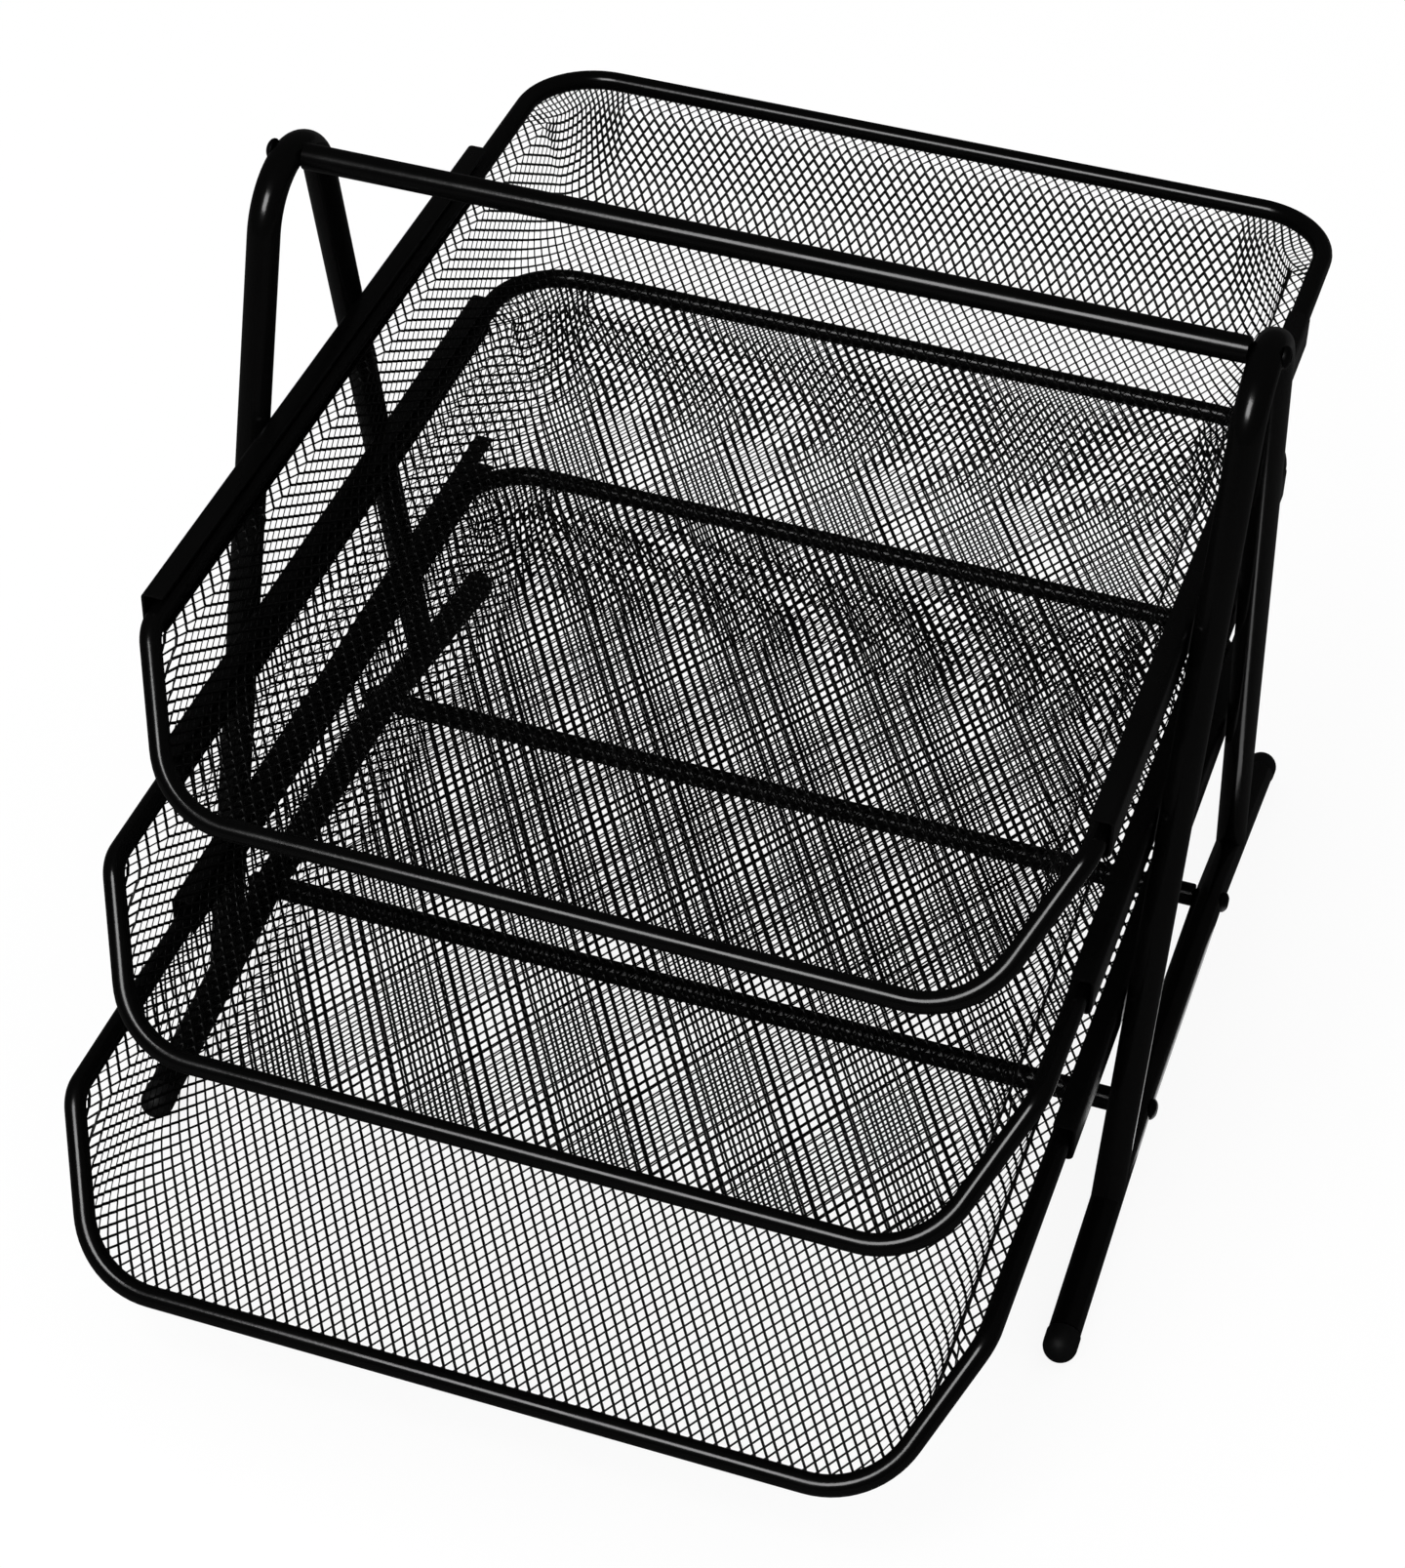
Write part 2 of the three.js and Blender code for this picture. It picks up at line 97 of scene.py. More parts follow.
class StandSizes(bpy.types.PropertyGroup):
    """Sizes of the welded stand."""

    middle_y: length("Middle", "Place of the stand's middle along Y", 24.5)
    tube: length("Tube", "Outside diameter of the leg and foot tubes", 10)
    frame_x: length("Frame plane", "Distance of the side frames' middle from the centre", 147.8)
    handle_height: length("Handle height", "Height of the handle bar's middle", 273)
    apex_radius: length("Apex radius", "Bend radius of the side frame's top", 21.4)
    apex_flat: length("Apex flat", "How far bending pulls the outside of the apex flat", 1.2)
    leg_lean: angle("Leg lean", "Lean of each leg from the vertical", 15.07)
    foot_reach: length("Foot reach", "Distance of a foot cap's dome from the stand's middle", 139.5)
    foot_rise: length("Foot rise", "Height of the foot tube's middle between its bends", 20.2)
    foot_bend: length("Foot bend", "Bend radius of the foot tube", 60)
    bar_spacing: length("Bar spacing", "Distance between the two cross bars", 100.4)
    handle: length("Handle", "Diameter of the handle bar", 8)
    cross_bar: length("Cross bar", "Diameter of the cross bars", 7.6)
    cap: length("Cap", "Diameter of a foot cap", 10.6)
    cap_sleeve: length("Cap sleeve", "Length of a foot cap before its dome", 5)
    cap_pad: length("Cap pad", "Depth worn flat under a foot cap's dome", 0.5)
    bolt_head: length("Bolt head", "Diameter of a bolt's head", 6.8)
    bolt_rise: length("Bolt rise", "Height of a bolt's head", 1.6)
    bolt_socket: length("Bolt socket", "Width across a bolt's socket", 2.8)
    bolt_seat: length("Bolt seat", "Depth to which a bolt's head sits in the round of the tube", 0.5)
    soft_edge: length("Soft edge", "Chamfer round the ends of the bars", 0.4)
    cap_edge: length("Cap edge", "Rounding of a foot cap's rim against the tube", 1.0)


class RailSizes(bpy.types.PropertyGroup):
    """Sizes of the folded rails."""

    rail_length: length("Length", "Length of a rail", 254)
    height: length("Height", "Height of a rail", 13)
    depth: length("Depth", "Width of a rail's flanges", 7)
    wall: length("Wall", "Thickness of the strip", 0.9)
    bend: length("Bend", "Outside radius of the folds", 1.8)
    soft_edge: length("Soft edge", "Rounding of the strip's cut edges", 0.2)


class TraySizes(bpy.types.PropertyGroup):
    """Sizes of a tray; the rim wire's are taken along its middle."""

    width: length("Width", "Width of the rim", 276)
    depth: length("Depth", "Depth of the rim", 364)
    slope_run: length("Slope run", "Length over which the rim's sides come down to the front", 38)
    front_drop: length("Front drop", "How far the front of the rim lies below the rest", 33)
    front_width: length("Front width", "Width between the rim's front corners", 235.5)
    rim: length("Rim", "Diameter of the rim wire", 6.4)
    rear_radius: length("Rear radius", "Bend radius of the rim's rear corners", 25)
    draw_radius: length("Draw radius", "Radius of the sheet's rear corners, to the rim's middle", 30)
    top_radius: length("Top radius", "Bend radius where the rim turns down", 12)
    front_radius: length("Front radius", "Bend radius of the rim's front corners", 28)
    sheet_drop: length("Sheet drop", "Depth of the mesh's middle under the rim's middle", 3.85)
    fold_radius: length("Fold radius", "Radius between floor and wall", 15)
    flare: angle("Flare", "Lean of the walls from the vertical", 11)
    flange: length("Flange", "Width of the flange inside the rim wire", 5.5)
    rear_reach: length("Rear reach", "How far the mesh goes past the rim's middle at the rear", 1.2)
    front_reach: length("Front reach", "How far the mesh goes past the rim's middle at the front", -0.5)
    pitch_across: length("Mesh width", "Width of a mesh diamond", 3.72)
    pitch_along: length("Mesh length", "Length of a mesh diamond", 6.15)
    strand: length("Strand", "Width of a mesh strand", 0.74)
    strand_rise: length("Strand rise", "Thickness of a mesh strand", 0.36)
    strand_turn: length("Strand turn", "How far a hole's far end lies over its near end", 0.6)
    knuckle: number("Knuckle", "Share by which the knuckles close a hole's long ends", 0.1)
    sliver: number("Sliver", "Faces slimmer than this at the trimmed edge are left out", 0.03)


class Finishes(bpy.types.PropertyGroup):
    """Colours of the finishes."""

    paint: colour("Paint", "Gloss powder coat of the tubes, bars, rails and rims", "#040404")
    mesh: colour("Mesh", "Satin enamel of the expanded mesh", "#050505")
    plastic: colour("Plastic", "Moulded plastic of the foot caps", "#080809")
    bolt: colour("Bolt", "Blackened steel of the bolts", "#08080A")
    floor: colour("Floor", "Table top under the object", "#F4F4F4")


class StageSettings(bpy.types.PropertyGroup):
    """The camera, the table top and the room."""

    camera: FloatVectorProperty(
        name="Camera", description="Place of the camera", default=(0.2634, -0.84297, 0.87107), size=3,
        subtype="TRANSLATION", unit="LENGTH",
    )
    azimuth: angle("Azimuth", "Turn of the camera round the object", 17.727)
    elevation: angle("Elevation", "Height of the camera above the horizon", 41.555)
    roll: angle("Roll", "Tilt of the picture", 1.556)
    lens: FloatProperty(name="Lens", description="Focal length in millimetres", default=85.947)
    sensor: FloatProperty(name="Sensor", description="Width of the sensor in millimetres", default=36)
    table: length("Table", "Width of the table top", 12000)
    table_gap: length("Table gap", "Room between the feet and the table top", 0.05)
    table_glow: number("Glow", "Brightness of the table that no shadow takes away", 0.9)
    table_shadow: number("Shadow", "Share of the table's light that shadows take away", 0.12)
    table_mirrored: number("Mirrored table", "Share of the table's colour in gloss", 0.05)
    room: number("Room", "Brightness of the room as a lamp", 0.8)
    room_mirrored: number("Mirrored room", "Brightness of the room in gloss", 0.02)


def sizes():
    """The sizes of the stand, of the rails and of the trays."""
    scene = bpy.context.scene
    return scene.stand_sizes, scene.rail_sizes, scene.tray_sizes


def node(tree, kind, inputs=None, links=None, **settings):
    """Adds a shader node with its settings, values and incoming links."""
    made = tree.nodes.new(kind)
    for key, value in settings.items():
        setattr(made, key, value)
    for key, value in (inputs or {}).items():
        made.inputs[key].default_value = value
    for key, output in (links or {}).items():
        tree.links.new(output, made.inputs[key])
    return made


# The colour sockets of Blender's mix node, which have no names of their own.
MIX_FACTOR, MIX_A, MIX_B, MIX_RESULT = 0, 6, 7, 2
# Millimetres over which a finish drifts, and how far its colour goes up and down.
DRIFT = 18
TINT = 0.2
# Detail of the noise, and the span in which most of its values lie.
NOISE_DETAIL = 2.0
NOISE_SPAN = 0.3, 0.7
MATERIALS = {}


def dimmed(base, share):
    """An opaque colour with that share of its brightness."""
    return (*(share * c for c in base), 1)


def surface(name, base, roughness, spread, grain, height, specular=0.5, metallic=0.0):
    """A procedural finish, whose colour and roughness drift a little.

    The grain and height of its fine bump are in millimetres.
    """
    material = bpy.data.materials.new(name)
    material.use_nodes = True
    tree = material.node_tree
    tree.nodes.clear()
    place = node(tree, "ShaderNodeTexCoord")
    drift = node(tree, "ShaderNodeTexNoise", {"Scale": 1 / (DRIFT * MM), "Detail": NOISE_DETAIL},
                 {"Vector": place.outputs["Object"]})
    low, high = NOISE_SPAN
    rough = node(tree, "ShaderNodeMapRange",
                 {"From Min": low, "From Max": high,
                  "To Min": roughness - spread, "To Max": roughness + spread},
                 {"Value": drift.outputs["Fac"]})
    noise = node(tree, "ShaderNodeTexNoise", {"Scale": 1 / (grain * MM), "Detail": NOISE_DETAIL},
                 {"Vector": place.outputs["Object"]})
    bump = node(tree, "ShaderNodeBump", {"Strength": 1.0, "Distance": height * MM},
                {"Height": noise.outputs["Fac"]})
    tint = node(tree, "ShaderNodeMix", {MIX_A: dimmed(base, 1 - TINT), MIX_B: dimmed(base, 1 + TINT)},
                {MIX_FACTOR: drift.outputs["Fac"]}, data_type="RGBA")
    shader = node(tree, "ShaderNodeBsdfPrincipled", {"Metallic": metallic, "Specular IOR Level": specular},
                  {"Base Color": tint.outputs[MIX_RESULT], "Roughness": rough.outputs["Result"],
                   "Normal": bump.outputs["Normal"]})
    node(tree, "ShaderNodeOutputMaterial", links={"Surface": shader.outputs["BSDF"]})
    return material


class BuildStep(bpy.types.Operator):
    """A step that can be undone from the panel"""

    bl_options = {"REGISTER", "UNDO"}


class ORGANIZER_OT_finishes(BuildStep):
    """The finishes that the pieces wear"""

    bl_idname = "organizer.finishes"
    bl_label = "Finishes"

    def execute(self, context):
        finish = context.scene.finishes
        # Gloss polyester powder coat on steel tube: deep black with a sharp highlight and faint orange peel.
        MATERIALS["paint"] = surface("gloss_powder_coat", finish.paint, roughness=0.17, spread=0.03,
                                     grain=1.6, height=0.02)
        # The same coat on the folded strip of the rails, less glossy.
        MATERIALS["rail"] = surface("powder_coated_strip", finish.paint, roughness=0.28, spread=0.04,
                                    grain=1.6, height=0.02)
        # The same coat on drawn rim wire, a little thinner, with a finer peel.
        MATERIALS["rim"] = surface("powder_coated_wire", finish.paint, roughness=0.18, spread=0.04,
                                   grain=1.2, height=0.015)
        # Dipped enamel on expanded steel mesh: satin, with the grain of the cut steel under it.
        MATERIALS["mesh"] = surface("enamelled_expanded_steel", finish.mesh, roughness=0.4, spread=0.06,
                                    grain=0.8, height=0.02, specular=0.4)
        # Moulded polypropylene: matt with a fine spark-eroded grain.
        MATERIALS["cap"] = surface("moulded_polypropylene", finish.plastic, roughness=0.55, spread=0.05,
                                   grain=0.35, height=0.02)
        # Black oxide on steel: a dull sheen that shows the metal a little.
        MATERIALS["bolt"] = surface("black_oxide_steel", finish.bolt, roughness=0.38, spread=0.05,
                                    grain=0.5, height=0.01, metallic=0.6)
        return {"FINISHED"}


def object_mode():
    """Leaves edit mode, if it is on."""
    if bpy.context.object is not None and bpy.context.object.mode != "OBJECT":
        bpy.ops.object.mode_set(mode="OBJECT")


def clear_selection():
    object_mode()
    bpy.ops.object.select_all(action="DESELECT")


def pick(obj):
    """Makes the object the only selected one, and the active one."""
    clear_selection()
    obj.select_set(True)
    bpy.context.view_layer.objects.active = obj


def settle(obj):
    """Puts the object's place, turn and size into its mesh."""
    pick(obj)
    bpy.ops.object.transform_apply(location=True, rotation=True, scale=True)


def apply_modifier(obj, kind, **settings):
    """Adds a modifier with these settings and applies it."""
    pick(obj)
    modifier = obj.modifiers.new(kind.lower(), kind)
    for key, value in settings.items():
        setattr(modifier, key, value)
    bpy.ops.object.modifier_apply(modifier=modifier.name)


def tidy_mesh(obj, smooth=30):
    """Merges doubles, turns the faces outwards and smooths all but edges sharper than that many degrees."""
    pick(obj)
    bpy.ops.object.mode_set(mode="EDIT")
    bpy.ops.mesh.select_all(action="SELECT")
    bpy.ops.mesh.remove_doubles(threshold=TOUCH)
    bpy.ops.mesh.normals_make_consistent(inside=False)
    object_mode()
    pick(obj)
    bpy.ops.object.shade_smooth_by_angle(angle=math.radians(smooth))


def dress(obj, name, body, stands_for, slot):
    """Names a finished piece, gives it its finish, ties it to its body, and hides the part it stands for."""
    obj.name = name
    obj.data.name = name
    obj.data.materials.clear()
    obj.data.materials.append(MATERIALS[slot])
    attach(obj, body)
    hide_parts(stands_for)


def copy_of(obj, shift=(0, 0, 0), flip_x=False, flip_y=False):
    """A copy with its own mesh, moved or mirrored, and settled."""
    pick(obj)
    bpy.ops.object.duplicate(linked=False)
    twin = bpy.context.object
    if flip_x or flip_y:
        twin.scale = (-1 if flip_x else 1, -1 if flip_y else 1, 1)
        settle(twin)
        if flip_x != flip_y:
            bpy.ops.object.mode_set(mode="EDIT")
            bpy.ops.mesh.select_all(action="SELECT")
            bpy.ops.mesh.normals_make_consistent(inside=False)
            object_mode()
    twin.location = shift
    settle(twin)
    return twin


def heading_turn(direction):
    """The turn that points an object's Z along that direction."""
    return direction.to_track_quat("Z", "Y").to_euler()


def bent_tube(corners, radii, diameter, step, sides=TUBE_SIDES, closed_ends=True):
    """A round tube pushed along straight runs and spun round each corner, in steps of that many degrees."""
    corners = [Vector(c) for c in corners]
    heading = (corners[1] - corners[0]).normalized()
    clear_selection()
    bpy.ops.mesh.primitive_circle_add(
        vertices=sides, radius=diameter / 2, fill_type="NOTHING", location=corners[0],
        rotation=heading_turn(heading),
    )
    obj = bpy.context.object
    settle(obj)
    bpy.ops.object.mode_set(mode="EDIT")
    bpy.ops.mesh.select_all(action="SELECT")
    here = corners[0]
    for corner, after, radius in zip(corners[1:-1], corners[2:], radii):
        onward = (after - corner).normalized()
        turn = heading.angle(onward)
        setback = radius * math.tan(turn / 2)
        start = corner - heading * setback
        bpy.ops.mesh.extrude_region_move(TRANSFORM_OT_translate={"value": start - here})
        inward = (onward - heading * onward.dot(heading)).normalized()
        bpy.ops.mesh.spin(
            steps=max(2, round(math.degrees(turn) / step)), angle=turn,
            center=start + inward * radius, axis=onward.cross(heading).normalized(),
        )
        here = corner + onward * setback
        heading = onward
    bpy.ops.mesh.extrude_region_move(TRANSFORM_OT_translate={"value": corners[-1] - here})
    if closed_ends:
        bpy.ops.mesh.select_all(action="SELECT")
        bpy.ops.mesh.fill_holes(sides=0)
    object_mode()
    tidy_mesh(obj)
    return obj


def select_where(obj, kind, test):
    """Goes to edit mode with those faces or edges selected for whose vertices the test holds."""
    pick(obj)
    bpy.ops.object.mode_set(mode="EDIT")
    bpy.ops.mesh.select_mode(type=kind)
    bpy.ops.mesh.select_all(action="DESELECT")
    object_mode()
    mesh = obj.data
    for part in mesh.polygons if kind == "FACE" else mesh.edges:
        part.select = test([mesh.vertices[i] for i in part.vertices])
    bpy.ops.object.mode_set(mode="EDIT")


def stepped_rod(start, direction, steps, sides):
    """A round piece grown ring by ring: each step gives how far on its ring is, and the ring's radius."""
    clear_selection()
    (first, now), *rest = steps
    bpy.ops.mesh.primitive_circle_add(vertices=sides, radius=now, fill_type="NGON")
    obj = bpy.context.object
    bpy.ops.object.mode_set(mode="EDIT")
    bpy.ops.mesh.select_all(action="SELECT")
    at = first
    for place, radius in rest:
        bpy.ops.mesh.extrude_region_move(TRANSFORM_OT_translate={"value": Z * (place - at)})
        ratio = radius / now
        bpy.ops.transform.resize(value=(ratio, ratio, 1), center_override=(0, 0, place - first))
        at, now = place, radius
    object_mode()
    obj.rotation_euler = heading_turn(Vector(direction))
    obj.location = Vector(start) + Vector(direction).normalized() * first
    settle(obj)
    tidy_mesh(obj)
    return obj


def foot_slope(stand):
    """Fall of the foot tube from a cross bar to a cap."""
    return math.atan2(stand.foot_rise - cap_height(stand), stand.foot_reach - stand.bar_spacing / 2)


def cap_height(stand):
    """Height of the middle of a foot cap's dome."""
    return stand.cap / 2 - stand.cap_pad


def apex_height(stand):
    """Height at which the middle lines of a side frame's legs would meet."""
    return stand.handle_height + stand.apex_radius * (1 / math.sin(stand.leg_lean) - 1)


def flatten_apex(tube, stand):
    """Lowers the outside of the apex bend, most at its top, as bending does to a thin tube."""
    bend = Vector((stand.middle_y, stand.handle_height - stand.apex_radius))
    for vertex in tube.data.vertices:
        spoke = vertex.co.yz - bend
        if spoke.y > 0:
            outside = max(spoke.length / stand.apex_radius - 1, 0) * stand.apex_radius / (stand.tube / 2)
            rise = spoke.normalized().y ** 2
            vertex.co.yz -= spoke.normalized() * (stand.apex_flat * min(outside, 1) * rise)


class ORGANIZER_OT_side_frames(BuildStep):
    """Two narrow A-shaped frames, each one bent tube"""

    bl_idname = "organizer.side_frames"
    bl_label = "Side frames"

    def execute(self, context):
        stand, _, _ = sizes()
        slope, top = math.tan(foot_slope(stand)), apex_height(stand)
        lean = math.tan(stand.leg_lean)
        leg_y = (top - stand.foot_rise - stand.bar_spacing / 2 * slope) * lean / (1 - slope * lean)
        leg_z = top - leg_y / lean
        path = [(-leg_y, leg_z), (0, top), (leg_y, leg_z)]
        corners = [(stand.frame_x, stand.middle_y + y, z) for y, z in path]
        right = bent_tube(corners, [stand.apex_radius], stand.tube, step=4)
        flatten_apex(right, stand)
        left = copy_of(right, flip_x=True)
        dress(right, "right_leg_tube", "frame", "right_side_frame", "paint")
        dress(left, "left_leg_tube", "frame", "left_side_frame", "paint")
        return {"FINISHED"}


class ORGANIZER_OT_feet(BuildStep):
    """Two foot tubes with shallow bends over the cross bars"""

    bl_idname = "organizer.feet"
    bl_label = "Feet"

    def execute(self, context):
        stand, _, _ = sizes()
        slope = foot_slope(stand)
        end_y = stand.foot_reach - stand.cap_sleeve * math.cos(slope)
        end_z = cap_height(stand) + stand.cap_sleeve * math.sin(slope)
        half = stand.bar_spacing / 2
        path = [(-end_y, end_z), (-half, stand.foot_rise), (half, stand.foot_rise), (end_y, end_z)]
        corners = [(stand.frame_x, stand.middle_y + y, z) for y, z in path]
        right = bent_tube(corners, [stand.foot_bend] * 2, stand.tube, step=1.5)
        left = copy_of(right, flip_x=True)
        dress(right, "right_foot_tube", "frame", "right_foot", "paint")
        dress(left, "left_foot_tube", "frame", "left_foot", "paint")
        return {"FINISHED"}


class ORGANIZER_OT_foot_caps(BuildStep):
    """Four domed plastic caps, worn flat where they stand"""

    bl_idname = "organizer.foot_caps"
    bl_label = "Foot caps"

    def execute(self, context):
        stand, _, _ = sizes()
        slope = foot_slope(stand)
        radius = stand.cap / 2
        out = Vector((0, math.cos(slope), -math.sin(slope)))
        dome = Vector((stand.frame_x, stand.middle_y + stand.foot_reach, cap_height(stand)))
        rim, edge = -stand.cap_sleeve, stand.cap_edge
        middle = ROUND_MIDDLE * edge
        steps = [(rim, radius - edge), (rim + middle, radius - middle), (rim + edge, radius)]
        turns = [math.radians(90 * i / DOME_STEPS) for i in range(DOME_STEPS)]
        steps += [(radius * math.sin(turn), radius * math.cos(turn)) for turn in turns]
        right_rear = stepped_rod(dome, out, steps, TUBE_SIDES)
        pick(right_rear)
        bpy.ops.object.mode_set(mode="EDIT")
        bpy.ops.mesh.select_all(action="SELECT")
        bpy.ops.mesh.bisect(plane_co=(0, 0, 0), plane_no=(0, 0, 1), clear_inner=True, use_fill=True,
                            threshold=TOUCH / 10)
        object_mode()
        tidy_mesh(right_rear, smooth=25)
        rear = {"right": right_rear, "left": copy_of(right_rear, flip_x=True)}
        shift = (0, 2 * stand.middle_y, 0)
        front = {side: copy_of(rear[side], shift=shift, flip_y=True) for side in ("left", "right")}
        for end, caps in (("rear", rear), ("front", front)):
            for side, cap in caps.items():
                dress(cap, f"{side}_{end}_cap", "frame", f"{side}_{end}_foot_cap", "cap")
        return {"FINISHED"}


class ORGANIZER_OT_bars(BuildStep):
    """The handle bar and the two cross bars, with softened ends"""

    bl_idname = "organizer.bars"
    bl_label = "Handle and cross bars"

    def execute(self, context):
        stand, _, _ = sizes()
        reach = stand.frame_x - stand.tube / 2
        half = stand.bar_spacing / 2
        bars = {
            "handle_bar": (0, stand.handle_height, stand.handle),
            "front_cross_bar": (-half, stand.foot_rise, stand.cross_bar),
            "rear_cross_bar": (half, stand.foot_rise, stand.cross_bar),
        }
        edge = stand.soft_edge
        for name, (y, z, diameter) in bars.items():
            radius = diameter / 2
            steps = [(0, radius - edge), (edge, radius)]
            steps += [(2 * reach - edge, radius), (2 * reach, radius - edge)]
            rod = stepped_rod((-reach, stand.middle_y + y, z), X, steps, TUBE_SIDES)
            dress(rod, f"{name}_rod", "frame", name, "paint")
        return {"FINISHED"}


# A button head's dome: shares of its rise, and of its radius there.
BUTTON_HEAD = ((0.1, 1), (0.35, 0.95), (0.6, 0.84), (0.85, 0.66), (1, 0.5))
# Depth of the socket as a share of the head's rise.
SOCKET_DEPTH = 0.8


class ORGANIZER_OT_bolts(BuildStep):
    """Six button-headed bolts with round sockets"""

    bl_idname = "organizer.bolts"
    bl_label = "Bolts"

    def execute(self, context):
        stand, _, _ = sizes()
        head, rise, seat = stand.bolt_head / 2, stand.bolt_rise, stand.bolt_seat
        tube_x = stand.frame_x + stand.tube / 2
        steps = [(0, head)]
        steps += [(seat + up * rise, share * head) for up, share in BUTTON_HEAD]
        first = stepped_rod((tube_x - seat, 0, 0), X, steps, BOLT_SIDES)
        select_where(first, "FACE", lambda ring: all(v.co.x > tube_x + rise - TOUCH for v in ring))
        _, face = steps[-1]
        bpy.ops.mesh.inset(thickness=face - stand.bolt_socket / 2)
        bpy.ops.mesh.extrude_region_move(TRANSFORM_OT_translate={"value": X * (-SOCKET_DEPTH * rise)})
        object_mode()
        tidy_mesh(first, smooth=25)
        half = stand.bar_spacing / 2
        places = {
            "handle_bolt": (stand.middle_y, stand.handle_height),
            "front_bar_bolt": (stand.middle_y - half, stand.foot_rise),
            "rear_bar_bolt": (stand.middle_y + half, stand.foot_rise),
        }
        for name, (y, z) in places.items():
            right = copy_of(first, shift=(0, y, z))
            left = copy_of(right, flip_x=True)
            dress(right, f"right_{name}_head", "frame", f"right_{name}", "bolt")
            dress(left, f"left_{name}_head", "frame", f"left_{name}", "bolt")
        bpy.data.objects.remove(first)
        return {"FINISHED"}


class ORGANIZER_OT_rails(BuildStep):
    """Six folded C-shaped strips, open to the inside"""

    bl_idname = "organizer.rails"
    bl_label = "Rails"

    def execute(self, context):
        _, rail, _ = sizes()
        for level in LEVELS:
            low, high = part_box(f"right_rail_{level}")
            middle = (low + high) / 2
            clear_selection()
            bpy.ops.mesh.primitive_cube_add(size=1, location=middle)
            strip = bpy.context.object
            strip.scale = (rail.depth, rail.rail_length, rail.height)
            settle(strip)
            # The inner side and the two ends come off.
            select_where(strip, "FACE", lambda ring: all(v.co.x < middle.x for v in ring)
                         or abs(sum(v.co.y - middle.y for v in ring)) > rail.rail_length)
            bpy.ops.mesh.delete(type="FACE")
            # The two long outer edges become the folds.
            select_where(strip, "EDGE", lambda ends: all(v.co.x > middle.x for v in ends)
                         and abs(ends[0].co.y - ends[1].co.y) > rail.depth)
            bpy.ops.mesh.bevel(offset=rail.bend, segments=FOLD_SEGMENTS, affect="EDGES")
            object_mode()
            apply_modifier(strip, "SOLIDIFY", thickness=rail.wall, offset=-1, use_even_offset=True)
            apply_modifier(strip, "BEVEL", width=rail.soft_edge, segments=2, limit_method="ANGLE",
                           angle_limit=CUT_EDGE)
            tidy_mesh(strip)
            left = copy_of(strip, flip_x=True)
            dress(strip, f"right_{level}_strip", "frame", f"right_rail_{level}", "rail")
            dress(left, f"left_{level}_strip", "frame", f"left_rail_{level}", "rail")
        return {"FINISHED"}


def rim_radii(tray):
    """Bend radii at the corners of half the rim."""
    return [tray.front_radius, tray.top_radius, tray.rear_radius]


def rim_corners(tray):
    """Corners of half the rim, from the middle of the front to the middle of the rear."""
    return [
        Vector((0, -tray.depth, -tray.front_drop)),
        Vector((tray.front_width / 2, -tray.depth, -tray.front_drop)),
        Vector((tray.width / 2, -tray.depth + tray.slope_run, 0)),
        Vector((tray.width / 2, 0, 0)),
        Vector((0, 0, 0)),
    ]


def tray_origin(tray, level):
    """Middle of the rear run of a tray's rim, from where the CAD rim stands."""
    low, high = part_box(f"tray_{level}_rim")
    return Vector((0, high.y - tray.rim / 2, high.z - tray.rim / 2))


class ORGANIZER_OT_rims(BuildStep):
    """The wire round each tray"""

    bl_idname = "organizer.rims"
    bl_label = "Rims"

    def execute(self, context):
        _, _, tray = sizes()
        half = bent_tube(rim_corners(tray), rim_radii(tray), tray.rim, step=5, sides=RIM_SIDES,
                         closed_ends=False)
        apply_modifier(half, "MIRROR", use_axis=(True, False, False), use_mirror_merge=True,
                       merge_threshold=5 * TOUCH)
        tidy_mesh(half)
        for level in LEVELS:
            rim = copy_of(half, shift=tray_origin(tray, level))
            dress(rim, f"{level}_rim_wire", f"tray_{level}", f"tray_{level}_rim", "rim")
        bpy.data.objects.remove(half)
        return {"FINISHED"}


def rim_line(tray):
    """Close points along the right half of the rim's middle line."""
    corners = rim_corners(tray)
    points = [corners[0]]
    for before, corner, after, radius in zip(corners, corners[1:], corners[2:], rim_radii(tray)):
        back, on = (before - corner).normalized(), (after - corner).normalized()
        half = back.angle(on) / 2
        centre = corner + (back + on).normalized() * (radius / math.sin(half))
        spoke = corner + back * (radius / math.tan(half)) - centre
        axis = on.cross(back).normalized()
        for i in range(RIM_BEND_STEPS + 1):
            turn = (math.pi - 2 * half) * i / RIM_BEND_STEPS
            points.append(centre + Matrix.Rotation(turn, 3, axis) @ spoke)
    points.append(corners[-1])
    return points


